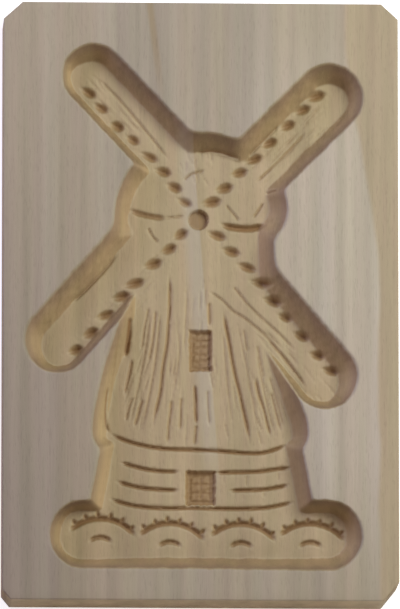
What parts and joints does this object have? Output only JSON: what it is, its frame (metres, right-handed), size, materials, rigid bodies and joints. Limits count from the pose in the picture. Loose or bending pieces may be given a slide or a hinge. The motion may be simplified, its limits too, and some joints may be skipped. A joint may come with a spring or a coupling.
{
  "type": "speculaas board",
  "caption": "Small upright board of solid wood with clipped corners, whose face holds a windmill cut as a hollow mould for pressing spiced biscuit dough.",
  "frame": {"origin": "middle of the flat back face, which the board rests on", "axes": "+Z out of the carved face, +Y along the grain from the mill's ground to its cap, +X to the right as the mill is seen"},
  "size_m": [0.11, 0.168, 0.018],
  "materials": {
    "beech": "plain planed beech, unvarnished, with fine ray flecks along the grain"
  },
  "bodies": {
    "root": {"board": "beech"}
  },
  "joints": []
}
